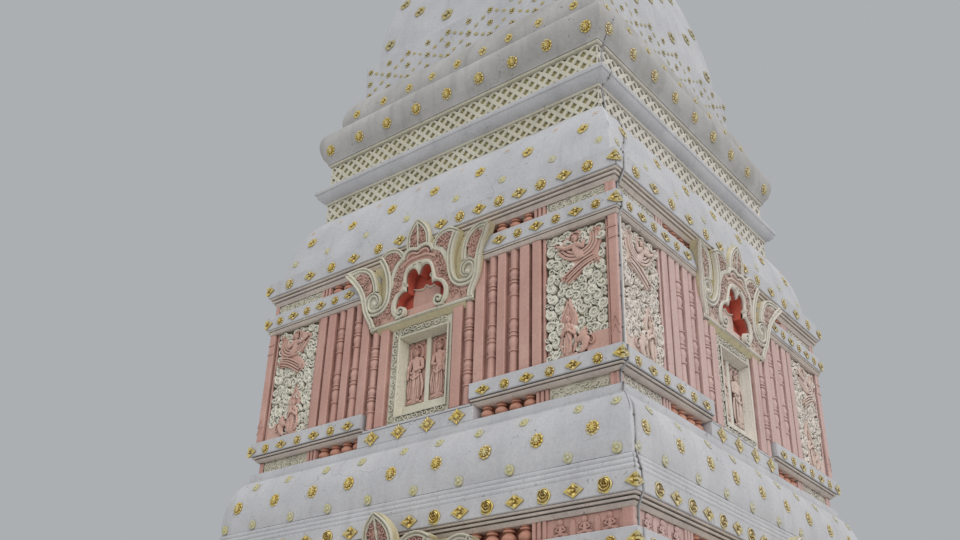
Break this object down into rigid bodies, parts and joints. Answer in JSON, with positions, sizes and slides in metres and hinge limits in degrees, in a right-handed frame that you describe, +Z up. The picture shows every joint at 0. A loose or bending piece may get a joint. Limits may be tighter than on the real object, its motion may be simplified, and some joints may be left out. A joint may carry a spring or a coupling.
{
  "type": "square brick and stucco stupa with a four-sided spire",
  "caption": "Tall square stupa with stacked storeys, false doorways under pediments, convex roofs and lattice bands, a lotus base, a tapering four-sided spire and a gilt umbrella finial.",
  "frame": {"origin": "on the vertical axis of the stupa, at ground level under the plinth", "axes": "+Z up the axis to the tip of the finial; -Y out of the south side, the left side in the picture; +X out of the east side"},
  "size_m": [9.104, 9.104, 35],
  "materials": {
    "white_stucco": "painted lime plaster, matt, with rain stains and fine cracks",
    "pink_stucco": "painted lime plaster, matt, worn",
    "cream_stucco": "painted lime plaster, matt, with lichen in the hollows",
    "red_paint": "matt red paint on plaster",
    "grey_stucco": "grey-beige painted mouldings, matt",
    "gilding": "worn gilding over plaster"
  },
  "bodies": {
    "root": {"finial": "gilding", "lattice_band_high": "cream_stucco", "lattice_band_low": "cream_stucco", "ledge": "white_stucco", "lotus_base": "white_stucco", "lower_core": "pink_stucco", "lower_corner_north_east": "pink_stucco", "lower_corner_north_west": "pink_stucco", "lower_corner_south_east": "pink_stucco", "lower_corner_south_west": "pink_stucco", "lower_cornice_low_band": "white_stucco", "lower_cornice_top_band": "white_stucco", "lower_dado": "cream_stucco", "lower_doorway_east": "pink_stucco", "lower_doorway_north": "pink_stucco", "lower_doorway_south": "pink_stucco", "lower_doorway_west": "pink_stucco", "lower_frieze": "cream_stucco", "lower_pediment_east": "cream_stucco", "lower_pediment_north": "cream_stucco", "lower_pediment_south": "cream_stucco", "lower_pediment_west": "cream_stucco", "lower_roof": "white_stucco", "lower_sill_band": "white_stucco", "plinth": "white_stucco", "spire": "white_stucco", "upper_core": "pink_stucco", "upper_corner_north_east": "pink_stucco", "upper_corner_north_west": "pink_stucco", "upper_corner_south_east": "pink_stucco", "upper_corner_south_west": "pink_stucco", "upper_cornice_low_band": "white_stucco", "upper_cornice_top_band": "white_stucco", "upper_dado": "cream_stucco", "upper_doorway_east": "pink_stucco", "upper_doorway_north": "pink_stucco", "upper_doorway_south": "pink_stucco", "upper_doorway_west": "pink_stucco", "upper_frieze": "cream_stucco", "upper_pediment_east": "cream_stucco", "upper_pediment_north": "cream_stucco", "upper_pediment_south": "cream_stucco", "upper_pediment_west": "cream_stucco", "upper_roof": "white_stucco", "upper_sill_band": "white_stucco"}
  },
  "joints": []
}
